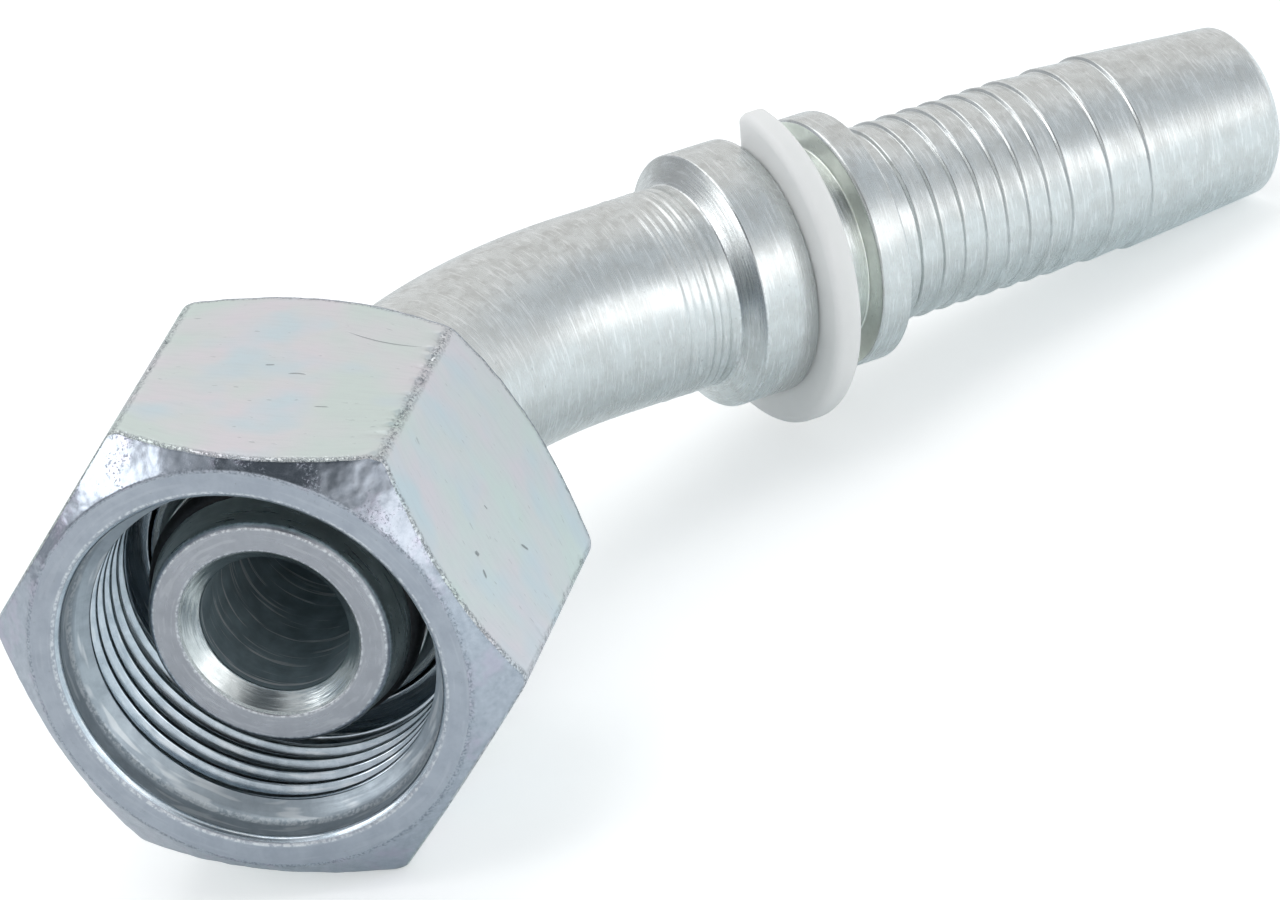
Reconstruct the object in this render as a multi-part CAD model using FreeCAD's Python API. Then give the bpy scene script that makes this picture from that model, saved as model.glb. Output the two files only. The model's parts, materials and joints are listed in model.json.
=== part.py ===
"""Elbow hose fitting, 45 degrees: bent one-piece stem, swivel nut, O-ring and locking clip.

The stem's two straight legs meet in one corner. The model is first laid out flat about that corner:
the nose leg runs along X with its face towards -X, and the tail leg leaves in the XY plane.
At the end it is moved so that the centre of the nose's face is the origin, and it is leaned about
the nose leg's axis until the nut's lower edge and the tail's tip lie on one level surface.
"""
import os
from math import acos, atan2, cos, hypot, pi, radians, sin, tan

import FreeCAD
import Part
from FreeCAD import Vector

# Driving dimensions in millimetres and degrees
# Legs of the stem, measured from the corner where their axes meet
nose_leg = 33.5
bend_angle = 45.0
bend_radius = 34.0
tube_d = 14.0
bore_d = 9.7

# Nose: cone of 24 degrees included, with the O-ring's groove and the shoulder that the nut pulls on
nose_face_d = 15.7
cone_half_angle = 12.0
cone_length = 7.7
shoulder_d = 20.0
shoulder_land = 1.4
shoulder_angle = 45.0
bore_chamfer = 1.15
bore_chamfer_length = 1.25
nose_edge = 0.25
groove_from_face = 2.8
groove_width = 2.5
cord_d = 2.0
cord_stand_out = 0.25
ring_seat_gap = 0.02

# Swivel nut: hexagon 30 across flats, thread M24 x 1.5
across_flats = 30.0
thread_d = 24.0
thread_pitch = 1.5
nut_length = 22.2
nut_overhang = 4.5
front_face_d = 28.5
front_chamfer = 38.0
rear_face_d = 27.0
rear_chamfer = 42.0
entry_d = 24.6
entry_depth = 1.9
entry_bevel = 0.3
lead_in_depth = 3.0
thread_end_depth = 10.6
undercut_d = 24.7
undercut_width = 2.0
nut_bore_gap = 0.3
nut_shoulder_gap = 0.3
neck_gap = 0.2
neck_bevel = 0.4
cut_past = 1.0

# Collars of the tail, from the corner outwards
first_collar_at = 21.5
first_collar_d = 17.7
collar_cone_length = 1.0
first_collar_end = 26.5
clip_groove_width = 5.2
clip_groove_d = 14.0
second_collar_d = 17.6
second_collar_width = 2.3
collar_bevel = 0.15
collar_rear_bevel = 0.2

# Barbed tail for hose of 12.7 bore
barb_crest_d = 13.9
barb_root_d = 13.4
barb_face_run = 0.15
first_barb_from_collar = 2.2
close_pitch = 1.75
close_barbs = 8
wide_pitch = 3.3
wide_barbs = 2
lead_length = 11.1
tip_d = 12.15
tip_chamfer = 0.55

# Locking clip: an open ring that snaps into the groove behind the first collar
clip_d = 22.6
clip_thickness = 1.9
clip_seat_gap = 0.1
clip_face_gap = 0.1
clip_edge_bevel = 0.4
clip_opening = 120.0
clip_opening_middle = 24.0

# Values worked out from the sizes above
tube_r = tube_d / 2
bore_r = bore_d / 2
bend = radians(bend_angle)
tangent_length = bend_radius * tan(bend / 2)
thread_minor_d = thread_d - 1.0825 * thread_pitch
nut_front = -nose_leg - nut_overhang
nut_rear = nut_front + nut_length
cone_slope = tan(radians(cone_half_angle))
cone_end_r = nose_face_d / 2 + cone_length * cone_slope
shoulder_front = -nose_leg + cone_length
shoulder_rear = shoulder_front + shoulder_land
shoulder_slope = tan(radians(shoulder_angle))
groove_middle = groove_from_face + groove_width / 2
cord_centre_r = nose_face_d / 2 + groove_middle * cone_slope + cord_stand_out - cord_d / 2
groove_floor_r = cord_centre_r - cord_d / 2 - ring_seat_gap
second_collar_at = first_collar_end + clip_groove_width
second_collar_end = second_collar_at + second_collar_width
first_barb = second_collar_end + first_barb_from_collar
last_barb = first_barb + (close_barbs - 1) * close_pitch + wide_barbs * wide_pitch
lead_end = last_barb + lead_length
tail_leg = lead_end + tip_chamfer

axis_x = Vector(1, 0, 0)
axis_z = Vector(0, 0, 1)
tail_direction = Vector(cos(bend), -sin(bend), 0)
tail_side = Vector(sin(bend), cos(bend), 0)


def turned(points, angle=360.0):
    """Solid turned about X from a closed half section of (place along the axis, radius) pairs."""
    corners = [Vector(x, 0, r) for x, r in points]
    face = Part.Face(Part.makePolygon(corners + corners[:1]))
    return face.revolve(Vector(0, 0, 0), axis_x, angle)


def onto_tail(shape):
    """Turns a shape made along X onto the axis of the tail leg."""
    placed = shape.copy()
    placed.rotate(Vector(0, 0, 0), axis_z, -bend_angle)
    return placed


def nose_section():
    """Half section of the nose leg: cone, O-ring groove, shoulder and tube up to the bend."""
    face_x = -nose_leg
    groove_start = face_x + groove_from_face
    groove_end = groove_start + groove_width
    shoulder_r = shoulder_d / 2
    tube_start = shoulder_rear + (shoulder_r - tube_r) / shoulder_slope

    def cone_r(x):
        return nose_face_d / 2 + (x - face_x) * cone_slope

    return [
        (face_x, bore_r + bore_chamfer),
        (face_x, nose_face_d / 2 - nose_edge),
        (face_x + nose_edge, cone_r(face_x + nose_edge)),
        (groove_start, cone_r(groove_start)),
        (groove_start, groove_floor_r),
        (groove_end, groove_floor_r),
        (groove_end, cone_r(groove_end)),
        (shoulder_front, cone_end_r),
        (shoulder_front, shoulder_r),
        (shoulder_rear, shoulder_r),
        (tube_start, tube_r),
        (-tangent_length, tube_r),
        (-tangent_length, bore_r),
        (face_x + bore_chamfer_length, bore_r),
    ]


def barb_points():
    """Saw teeth whose steep side faces the collar, then the smooth lead that tapers to the tip."""
    places = [first_barb + i * close_pitch for i in range(close_barbs)]
    places += [places[-1] + (i + 1) * wide_pitch for i in range(wide_barbs)]
    points = []
    for place in places:
        points.append((place - barb_face_run, barb_root_d / 2))
        points.append((place, barb_crest_d / 2))
    points.append((lead_end, tip_d / 2))
    points.append((tail_leg, tip_d / 2 - tip_chamfer))
    return points


def tail_section():
    """Half section of the tail leg: tube, two collars with the groove between them, and the barbs."""
    first_r = first_collar_d / 2
    second_r = second_collar_d / 2
    floor_r = clip_groove_d / 2
    root_r = barb_root_d / 2
    return [
        (tangent_length, bore_r),
        (tangent_length, tube_r),
        (first_collar_at, tube_r),
        (first_collar_at + collar_cone_length, first_r),
        (first_collar_end - collar_rear_bevel, first_r),
        (first_collar_end, first_r - collar_rear_bevel),
        (first_collar_end, floor_r),
        (second_collar_at, floor_r),
        (second_collar_at, second_r - collar_bevel),
        (second_collar_at + collar_bevel, second_r),
        (second_collar_end - collar_rear_bevel, second_r),
        (second_collar_end, second_r - collar_rear_bevel),
        (second_collar_end, root_r),
    ] + barb_points() + [
        (tail_leg, bore_r + tip_chamfer / 2),
        (tail_leg - tip_chamfer / 2, bore_r),
    ]


def bend_piece():
    """The bend of the tube, with its bore, turned about the bend's centre."""
    start = Vector(-tangent_length, 0, 0)
    centre = start + Vector(0, -bend_radius, 0)
    outer = Part.Wire(Part.makeCircle(tube_r, start, axis_x))
    inner = Part.Wire(Part.makeCircle(bore_r, start, axis_x))
    ring = Part.Face(outer).cut(Part.Face(inner)).Faces[0]
    return ring.revolve(centre, axis_z, -bend_angle)


def elbow_stem():
    """One piece of steel from the nose's face to the tip of the tail, with one bore right through."""
    legs = [bend_piece(), onto_tail(turned(tail_section()))]
    stem = turned(nose_section()).multiFuse(legs).removeSplitter()
    return stem.Solids[0]


def nut_body():
    """Hexagon bar with its corners turned off by a cone at each end."""
    corner_r = across_flats / 2 / cos(pi / 6)
    corners = [
        Vector(nut_front, corner_r * cos(i * pi / 3), corner_r * sin(i * pi / 3))
        for i in range(6)
    ]
    bar = Part.Face(Part.makePolygon(corners + corners[:1])).extrude(Vector(nut_length, 0, 0))
    clear_r = corner_r + cut_past
    front_r = front_face_d / 2
    rear_r = rear_face_d / 2
    envelope = turned([
        (nut_front, 0),
        (nut_front, front_r),
        (nut_front + (clear_r - front_r) * tan(radians(front_chamfer)), clear_r),
        (nut_rear - (clear_r - rear_r) * tan(radians(rear_chamfer)), clear_r),
        (nut_rear, rear_r),
        (nut_rear, 0),
    ])
    # As splines, the cones leave spline edges on the flats, which measure more steadily
    return bar.common(envelope.toNurbs())


def nut_hollow():
    """What is bored out of the nut: bevelled mouth, thread's core, undercut, shoulder and neck."""
    entry_r = entry_d / 2
    minor_r = thread_minor_d / 2
    undercut_r = undercut_d / 2
    collar_r = shoulder_d / 2 + nut_bore_gap
    neck_r = tube_r + neck_gap
    thread_end = nut_front + thread_end_depth
    undercut_end = thread_end + undercut_width
    # The nut's shoulder is the stem's shoulder moved off by the gap, square to its slope
    slope_gap = nut_shoulder_gap / sin(radians(shoulder_angle))
    seat_start = shoulder_rear + slope_gap - (collar_r - shoulder_d / 2) / shoulder_slope
    seat_end = seat_start + (collar_r - neck_r) / shoulder_slope
    return turned([
        (nut_front - cut_past, 0),
        (nut_front - cut_past, entry_r + entry_bevel + cut_past),
        (nut_front + entry_bevel, entry_r),
        (nut_front + entry_depth, entry_r),
        (nut_front + lead_in_depth, minor_r),
        (thread_end, minor_r),
        (thread_end + undercut_r - minor_r, undercut_r),
        (undercut_end, undercut_r),
        (undercut_end, collar_r),
        (seat_start, collar_r),
        (seat_end, neck_r),
        (nut_rear - neck_bevel, neck_r),
        (nut_rear + cut_past, neck_r + neck_bevel + cut_past),
        (nut_rear + cut_past, 0),
    ])


def swivel_nut():
    """Hexagon nut that turns on the stem and pulls on the shoulder behind the cone."""
    return nut_body().cut(nut_hollow()).Solids[0]


def nose_o_ring():
    """O-ring in the groove of the cone."""
    place = -nose_leg + groove_middle
    return Part.makeTorus(cord_centre_r, cord_d / 2, Vector(place, 0, 0), axis_x)


def locking_clip():
    """Open ring with bevelled edges, whose mouth lets it snap over the groove's floor."""
    inner_r = clip_groove_d / 2 + clip_seat_gap
    outer_r = clip_d / 2
    start = first_collar_end + clip_face_gap
    end = start + clip_thickness
    bevel = clip_edge_bevel
    ring = turned([
        (start, inner_r + bevel),
        (start, outer_r - bevel),
        (start + bevel, outer_r),
        (end - bevel, outer_r),
        (end, outer_r - bevel),
        (end, inner_r + bevel),
        (end - bevel, inner_r),
        (start + bevel, inner_r),
    ], 360 - clip_opening)
    ring.rotate(Vector(0, 0, 0), axis_x, clip_opening_middle + clip_opening / 2 - 90)
    return onto_tail(ring)


def lean_angle():
    """Lean about the nose leg at which the nut's lower edge and the tail's tip are equally low."""
    flat_height = across_flats / 2
    reach = lead_end * sin(bend) - across_flats / 2 * tan(pi / 6)
    tip_r = tip_d / 2
    return acos(tip_r / hypot(flat_height, reach)) - atan2(reach, flat_height)


def in_rest(shape):
    """Moves a shape from the flat layout to where the fitting lies at rest."""
    placed = shape.copy()
    placed.translate(Vector(nose_leg, 0, 0))
    placed.rotate(Vector(0, 0, 0), axis_x, lean_angle() * 180 / pi)
    return placed


pieces = {
    "elbow_stem": elbow_stem(),
    "swivel_nut": swivel_nut(),
    "nose_o_ring": nose_o_ring(),
    "locking_clip": locking_clip(),
}

os.makedirs("parts", exist_ok=True)
for name, shape in pieces.items():
    placed = in_rest(shape)
    placed.exportStep("parts/" + name + ".step")
    box = placed.BoundBox
    print(name, placed.isValid(), len(placed.Solids), round(placed.Volume, 1),
          [round(v, 2) for v in (box.XMin, box.XMax, box.YMin, box.YMax, box.ZMin, box.ZMax)])
print("lean", round(lean_angle() * 180 / pi, 2))
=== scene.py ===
"""Elbow hose fitting with a swivel nut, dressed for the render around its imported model."""
import json
from math import cos, pi, radians, sin, sqrt, tan

import bpy
import numpy as np
from mathutils import Matrix, Vector, noise


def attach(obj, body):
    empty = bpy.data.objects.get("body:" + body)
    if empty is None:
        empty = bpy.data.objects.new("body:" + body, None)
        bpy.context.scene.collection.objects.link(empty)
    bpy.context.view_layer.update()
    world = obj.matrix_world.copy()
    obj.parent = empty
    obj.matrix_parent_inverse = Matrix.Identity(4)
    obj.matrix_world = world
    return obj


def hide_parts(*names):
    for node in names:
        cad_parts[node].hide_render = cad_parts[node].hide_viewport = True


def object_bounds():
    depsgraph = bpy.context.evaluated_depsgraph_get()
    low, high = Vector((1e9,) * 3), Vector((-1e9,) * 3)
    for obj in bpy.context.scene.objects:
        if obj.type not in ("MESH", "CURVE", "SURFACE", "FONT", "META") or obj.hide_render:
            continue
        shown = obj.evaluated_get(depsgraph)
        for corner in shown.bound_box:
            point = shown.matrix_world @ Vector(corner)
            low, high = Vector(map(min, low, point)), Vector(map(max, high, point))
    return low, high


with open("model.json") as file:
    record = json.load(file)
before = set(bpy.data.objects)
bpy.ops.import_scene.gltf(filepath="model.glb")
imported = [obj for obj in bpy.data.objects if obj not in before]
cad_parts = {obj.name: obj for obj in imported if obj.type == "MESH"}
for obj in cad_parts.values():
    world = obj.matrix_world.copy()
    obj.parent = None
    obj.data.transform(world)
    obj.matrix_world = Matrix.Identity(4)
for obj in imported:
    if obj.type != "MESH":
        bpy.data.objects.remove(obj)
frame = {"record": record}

cad_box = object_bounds()

# The stem
# One piece of free-cutting steel: cone nose, bent tube, two collars and a barbed tail. It is turned
# all over and drilled through, bent cold, then bright zinc plated. The other pieces are carried by it.

mm = 0.001
mounts = {mount["name"]: mount for mount in frame["record"]["mounts"]}
leg_way = np.array((1.0, 0.0, 0.0))
up_way = np.array(mounts["spanner_flat"]["axis"])
side_way = np.cross(up_way, leg_way)

nose_leg = 33.5
bend_angle = radians(45)
bend_radius = 34.0
tangent_length = bend_radius * tan(bend_angle / 2)
bend_start = nose_leg - tangent_length
tail_offset = bend_start + bend_radius * bend_angle - tangent_length
bore_r = 4.85
tube_r = 7.0


def along_stem(station, radius, angle):
    """Points round the stem's centreline: station and radius in mm, angle from the bend's outer side."""
    turn = np.clip((station - bend_start) / bend_radius, 0, bend_angle)
    rest = station - bend_start - bend_radius * turn
    forward = bend_start + bend_radius * np.sin(turn) + rest * np.cos(turn)
    sideways = -bend_radius * (1 - np.cos(turn)) - rest * np.sin(turn)
    forward = forward + radius * np.cos(angle) * np.sin(turn)
    sideways = sideways + radius * np.cos(angle) * np.cos(turn)
    height = radius * np.sin(angle)
    return mm * (forward[..., None] * leg_way + sideways[..., None] * side_way + height[..., None] * up_way)


def turned_rings(outline, count):
    """Rings of a closed half section. Each corner is (station, radius, rounding, cuts, finish).

    Station and radius may differ round the piece. Cuts are the extra rings on the stretch that
    follows the corner, and finish is that stretch's place in the piece's list of materials.
    """
    corners = [np.stack([np.broadcast_to(c[0], count), np.broadcast_to(c[1], count)], -1) for c in outline]
    bends = []
    for i, corner in enumerate(outline):
        last = corners[i - 1] - corners[i]
        following = corners[(i + 1) % len(outline)] - corners[i]
        reach = [np.minimum(corner[2] / (np.linalg.norm(way, axis=-1, keepdims=True) + 1e-9), 0.45)
                 for way in (last, following)]
        bends.append((corners[i] + reach[0] * last, corners[i], corners[i] + reach[1] * following))
    rows = []
    finishes = []
    edges = []
    for i, (first, middle, end) in enumerate(bends):
        steps = (0.0, 0.3, 0.7, 1.0) if outline[i][2] > 0 else (0.5,)
        for k in steps:
            edges.append(outline[i][2] >= 0.1 and 0 < k < 1)
            rows.append((1 - k) ** 2 * first + 2 * k * (1 - k) * middle + k * k * end)
            finishes.append(outline[i][4])
        for cut in range(outline[i][3]):
            share = (cut + 1) / (outline[i][3] + 1)
            edges.append(False)
            rows.append(end + share * (bends[(i + 1) % len(bends)][0] - end))
            finishes.append(outline[i][4])
    return np.array(rows), np.array(finishes), np.array(edges)


def ring_mesh(name, rows, finishes, edges, angles, corners=0.0):
    """Closed mesh of rings carried round the stem's centreline.

    It keeps three things on its points for the finishes: the lay, which is the way along the section
    in mm with the point's cosine and sine, the wear, which is 1 on an edge and 0 from 0.7 mm off it,
    and a map whose first axis runs round the piece, as the tool did.
    """
    points = along_stem(rows[..., 0], rows[..., 1], angles[None, :])
    height, width = rows.shape[:2]
    index = np.arange(height * width).reshape(height, width)
    below = np.roll(index, -1, axis=0)
    faces = np.stack([index, np.roll(index, -1, axis=1), np.roll(below, -1, axis=1), below], -1)
    mesh = bpy.data.meshes.new(name)
    mesh.from_pydata(points.reshape(-1, 3).tolist(), [], faces.reshape(-1, 4).tolist())
    ways = np.linalg.norm(np.diff(rows, axis=0, prepend=rows[:1]), axis=-1).cumsum(axis=0)
    lay = np.stack(np.broadcast_arrays(ways[:, :1], np.cos(angles), np.sin(angles)), -1)
    mesh.attributes.new("lay", "FLOAT_VECTOR", "POINT").data.foreach_set("vector", lay.ravel())
    far_off, wear_reach = 9.0, 0.7
    apart = [np.full(ways.shape, far_off)] + [np.abs(ways - ways[i]) for i in np.flatnonzero(edges)]
    worn = np.clip(1 - np.min(apart, axis=0) / wear_reach, 0, 1)
    wear = np.maximum(worn, corners * (finishes == 0)[:, None])
    mesh.attributes.new("wear", "FLOAT", "POINT").data.foreach_set("value", wear.ravel())
    around = np.arange(width) / width
    heights = ways[:, 0] / ways[-1, 0]
    chart = np.zeros((height, width, 4, 2))
    chart[..., 0] = around[None, :, None] + np.array((0, 1, 1, 0)) / width
    next_heights = np.append(heights[1:], 1.01)
    chart[..., 1] = np.stack([heights, heights, next_heights, next_heights], -1)[:, None, :]
    mesh.uv_layers.new(name="turning").data.foreach_set("uv", chart.ravel())
    mesh.polygons.foreach_set("material_index", np.repeat(finishes, width).astype(np.int32))
    mesh.update()
    return mesh


def turned_mesh(name, outline, angles):
    """Mesh of a half section that is the same all round, or differs as its corners say."""
    return ring_mesh(name, *turned_rings(outline, len(angles)), angles)


def show(name, mesh, materials, sharp):
    """Object at the origin for a finished mesh, smooth but for edges sharper than the given degrees."""
    for material in materials:
        mesh.materials.append(material)
    mesh.shade_smooth()
    mesh.set_sharp_from_angle(angle=radians(sharp))
    piece = bpy.data.objects.new(name, mesh)
    bpy.context.scene.collection.objects.link(piece)
    return piece


def linear(code):
    """Linear colour of an sRGB hex value."""
    parts = [int(code[i:i + 2], 16) / 255 for i in (1, 3, 5)]
    return tuple(c / 12.92 if c <= 0.04045 else ((c + 0.055) / 1.055) ** 2.4 for c in parts) + (1.0,)


def add(tree, kind, inputs=None, **settings):
    """One node with its settings; inputs maps a socket to a value, a hex colour or a source."""
    node = tree.nodes.new(kind)
    for key, value in settings.items():
        setattr(node, key, value)
    for key, value in (inputs or {}).items():
        if isinstance(value, bpy.types.NodeSocket):
            tree.links.new(value, node.inputs[key])
        else:
            node.inputs[key].default_value = linear(value) if isinstance(value, str) else value
    return node


def blank(name):
    """New material with an empty tree and its output node."""
    material = bpy.data.materials.new(name)
    material.use_nodes = True
    tree = material.node_tree
    tree.nodes.clear()
    return material, tree, add(tree, "ShaderNodeOutputMaterial")


def in_mm(tree):
    """Object coordinates in mm."""
    place = add(tree, "ShaderNodeTexCoord").outputs["Object"]
    return add(tree, "ShaderNodeVectorMath", {0: place, 1: (1000, 1000, 1000)},
               operation="MULTIPLY").outputs[0]


def turned_zinc(name, light, dark, pitch, depth, rough, turning, marks, metal=1.0, stained=0.0):
    """Bright zinc over turned steel.

    Tool lines run round the piece and spread its highlights along it. The plating is cloudy, with
    specks and short bright scratches. Pitch and depth of the lines are in mm, marks is how far the
    scratches show, and metal is below 1 where the plating is thin and dull. Stained is how far the
    dull spots show that the bath's drops left as they dried on the upper side. A scratch is drawn
    about 0.2 mm wide, as a true one would be too fine to show.
    """
    material, tree, out = blank(name)
    place = in_mm(tree)
    lay = add(tree, "ShaderNodeAttribute", attribute_name="lay").outputs["Vector"]
    wear = add(tree, "ShaderNodeAttribute", attribute_name="wear").outputs["Fac"]
    stretched = add(tree, "ShaderNodeVectorMath", {0: lay, 1: (1 / pitch, 2.2, 2.2)},
                    operation="MULTIPLY").outputs[0]
    lines = add(tree, "ShaderNodeTexNoise", {"Vector": stretched, "Scale": 1.0, "Detail": 2.0,
                "Roughness": 0.6}).outputs[0]
    stretched = add(tree, "ShaderNodeVectorMath", {0: lay, 1: (0.6 / pitch, 4.0, 4.0)},
                    operation="MULTIPLY").outputs[0]
    strokes = add(tree, "ShaderNodeTexNoise", {"Vector": stretched, "Scale": 1.0, "Detail": 1.0,
                  "Roughness": 0.5}).outputs[0]
    cloud = add(tree, "ShaderNodeTexNoise", {"Vector": place, "Scale": 0.6, "Detail": 5.0,
                "Roughness": 0.68}).outputs[0]
    fleck = add(tree, "ShaderNodeTexNoise", {"Vector": place, "Scale": 3.2, "Detail": 3.0,
                "Roughness": 0.7}).outputs[0]
    share = add(tree, "ShaderNodeMapRange", {"Value": cloud, "From Min": 0.40, "From Max": 0.62}).outputs[0]
    colour = add(tree, "ShaderNodeMix", {"Factor": share, 6: light, 7: dark}, data_type="RGBA").outputs[2]
    share = add(tree, "ShaderNodeMapRange", {"Value": fleck, "From Min": 0.66, "From Max": 0.75,
                "To Max": 0.55}).outputs[0]
    colour = add(tree, "ShaderNodeMix", {"Factor": share, 6: colour, 7: "#8A8E90"},
                 data_type="RGBA").outputs[2]
    normal = add(tree, "ShaderNodeTexCoord").outputs["Normal"]
    upper = add(tree, "ShaderNodeSeparateXYZ", {0: normal}).outputs[2]
    spots = add(tree, "ShaderNodeTexNoise", {"Vector": place, "Scale": 1.1, "Detail": 4.0,
                "Roughness": 0.7}).outputs[0]
    share = add(tree, "ShaderNodeMapRange", {"Value": spots, "From Min": 0.48, "From Max": 0.62}).outputs[0]
    other_share = add(tree, "ShaderNodeMapRange", {"Value": upper, "From Min": 0.35, "From Max": 0.8,
                      "To Max": stained}).outputs[0]
    drops = add(tree, "ShaderNodeMath", {0: share, 1: other_share}, operation="MULTIPLY").outputs[0]
    colour = add(tree, "ShaderNodeMix", {"Factor": drops, 6: colour, 7: "#9C9A97"},
                 data_type="RGBA").outputs[2]
    share = add(tree, "ShaderNodeMapRange", {"Value": strokes, "From Min": 0.58, "From Max": 0.66,
                "To Max": marks}).outputs[0]
    colour = add(tree, "ShaderNodeMix", {"Factor": share, 6: colour, 7: "#F6F9FA"},
                 data_type="RGBA").outputs[2]
    share = add(tree, "ShaderNodeMapRange", {"Value": wear, "From Min": 0.86, "From Max": 1.0}).outputs[0]
    other_share = add(tree, "ShaderNodeMapRange", {"Value": fleck, "From Min": 0.44,
                      "From Max": 0.58}).outputs[0]
    edge = add(tree, "ShaderNodeMath", {0: share, 1: other_share}, operation="MULTIPLY").outputs[0]
    part = add(tree, "ShaderNodeMath", {0: edge, 1: 0.6}, operation="MULTIPLY").outputs[0]
    colour = add(tree, "ShaderNodeMix", {"Factor": part, 6: colour, 7: "#EEF2F4"},
                 data_type="RGBA").outputs[2]
    share = add(tree, "ShaderNodeMapRange", {"Value": cloud, "From Min": 0.3, "From Max": 0.7,
                "To Min": rough - 0.02, "To Max": rough + 0.03}).outputs[0]
    other_share = add(tree, "ShaderNodeMapRange", {"Value": lines, "From Min": 0.3, "From Max": 0.7,
                      "To Min": -0.05, "To Max": 0.05}).outputs[0]
    shine = add(tree, "ShaderNodeMath", {0: share, 1: other_share}, operation="ADD").outputs[0]
    shine = add(tree, "ShaderNodeMath", {0: drops, 1: 0.2, 2: shine}, operation="MULTIPLY_ADD").outputs[0]
    relief = add(tree, "ShaderNodeBump", {"Strength": 1.0, "Distance": depth * mm, "Height": lines})
    relief = add(tree, "ShaderNodeBump", {"Strength": 0.8, "Distance": 0.6 * depth * mm, "Height": strokes,
                 "Normal": relief.outputs[0]})
    relief = add(tree, "ShaderNodeBump", {"Strength": 0.4, "Distance": 0.005 * mm, "Height": fleck,
                 "Normal": relief.outputs[0]})
    way = add(tree, "ShaderNodeTangent", direction_type="UV_MAP", uv_map="turning")
    skin = add(tree, "ShaderNodeBsdfPrincipled", {"Base Color": colour, "Metallic": metal, "Roughness": shine,
               "Anisotropic": turning, "Tangent": way.outputs[0], "Normal": relief.outputs[0]})
    tree.links.new(skin.outputs[0], out.inputs[0])
    return material


def drilled_steel():
    """Drilled bore, which zinc plates thin and dull: half metal, with the drill's rings scored bright."""
    material, tree, out = blank("drilled_steel_dull_zinc")
    place = in_mm(tree)
    lay = add(tree, "ShaderNodeAttribute", attribute_name="lay").outputs["Vector"]
    stretched = add(tree, "ShaderNodeVectorMath", {0: lay, 1: (2.4, 0.45, 0.45)},
                    operation="MULTIPLY").outputs[0]
    lines = add(tree, "ShaderNodeTexNoise", {"Vector": stretched, "Scale": 1.0, "Detail": 3.0,
                "Roughness": 0.65}).outputs[0]
    cloud = add(tree, "ShaderNodeTexNoise", {"Vector": place, "Scale": 0.6, "Detail": 4.0,
                "Roughness": 0.6}).outputs[0]
    share = add(tree, "ShaderNodeMapRange", {"Value": cloud, "From Min": 0.35, "From Max": 0.65}).outputs[0]
    colour = add(tree, "ShaderNodeMix", {"Factor": share, 6: "#AFC0C6", 7: "#93A3AA"},
                 data_type="RGBA").outputs[2]
    share = add(tree, "ShaderNodeMapRange", {"Value": lines, "From Min": 0.58, "From Max": 0.62,
                "To Max": 0.7}).outputs[0]
    colour = add(tree, "ShaderNodeMix", {"Factor": share, 6: colour, 7: "#FFFFFF"},
                 data_type="RGBA").outputs[2]
    relief = add(tree, "ShaderNodeBump", {"Strength": 1.0, "Distance": 0.05 * mm, "Height": lines})
    relief = add(tree, "ShaderNodeBump", {"Strength": 0.6, "Distance": 0.03 * mm, "Height": cloud,
                 "Normal": relief.outputs[0]})
    skin = add(tree, "ShaderNodeBsdfPrincipled", {"Base Color": colour, "Metallic": 0.55, "Roughness": 0.36,
               "Normal": relief.outputs[0]})
    tree.links.new(skin.outputs[0], out.inputs[0])
    return material


stem_finishes = [
    turned_zinc("bright_zinc_turned_tube", "#D6DADA", "#CCCFCE", 0.12, 0.009, 0.26, 0.5, 0.36, 1.0, 0.25),
    # The faced zinc is darker than the tube's: painted shade, for the shaded floor that the nose's face and
    # the tail's end reflect; the turning lines are real.
    turned_zinc("bright_zinc_faced_nose", "#AAADB4", "#A1A4AB", 0.16, 0.010, 0.30, 0.6, 0.1),
    drilled_steel(),
    turned_zinc("bright_zinc_bored_mouth", "#DADFDF", "#C6CCCC", 0.22, 0.016, 0.22, 0.6, 0.35),
    # The second collar's front face gets zinc lighter than the tube's: painted light, which lifts the shade
    # between the clip and the collar and stands in for the face's bright highlight.
    turned_zinc("bright_zinc_faced_collar", "#EEF3EA", "#E3E8DF", 0.2, 0.003, 0.32, 0.7, 0.1),
    turned_zinc("bright_zinc_ground_cone", "#B9C3BF", "#AEB8B5", 0.2, 0.003, 0.30, 0.6, 0.1),
]
skin_finish, face_finish, bore_finish, mouth_finish, collar_finish, cone_finish = range(6)

nose_face_r = 7.85
nose_edge = 0.25
mouth_bevel, mouth_bevel_length = 1.15, 1.25
cone_slope = tan(radians(12))
groove_from_face = 2.8
groove_width = 2.5
cord_r = 1.0
cord_stand_out = 0.25
ring_seat_gap = 0.02
cord_centre_r = nose_face_r + (groove_from_face + groove_width / 2) * cone_slope + cord_stand_out - cord_r
groove_floor_r = cord_centre_r - cord_r - ring_seat_gap
shoulder_front = 7.7
shoulder_rear = 9.1
shoulder_r = 10.0
tube_front = shoulder_rear + shoulder_r - tube_r

first_collar = tail_offset + 21.5
first_collar_end = tail_offset + 26.5
first_collar_r = 8.85
collar_cone_length = 1.0
second_collar = tail_offset + 31.7
second_collar_end = tail_offset + 34.0
second_collar_r = 8.8
collar_bevel = 0.15
groove_r = 7.0

barb_crest_r = 6.95
barb_root_r = 6.7
barb_face_run = 0.15
crest_wave = 0.09
first_barb = second_collar_end + 2.2
close_pitch, close_barbs = 1.75, 8
wide_pitch, wide_barbs = 3.3, 2
lead_length = 11.09
tip_r = 6.075
tip_bevel = 0.55


def cone_r(station):
    """Radius of the sealing cone at a station."""
    return nose_face_r + station * cone_slope


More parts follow.
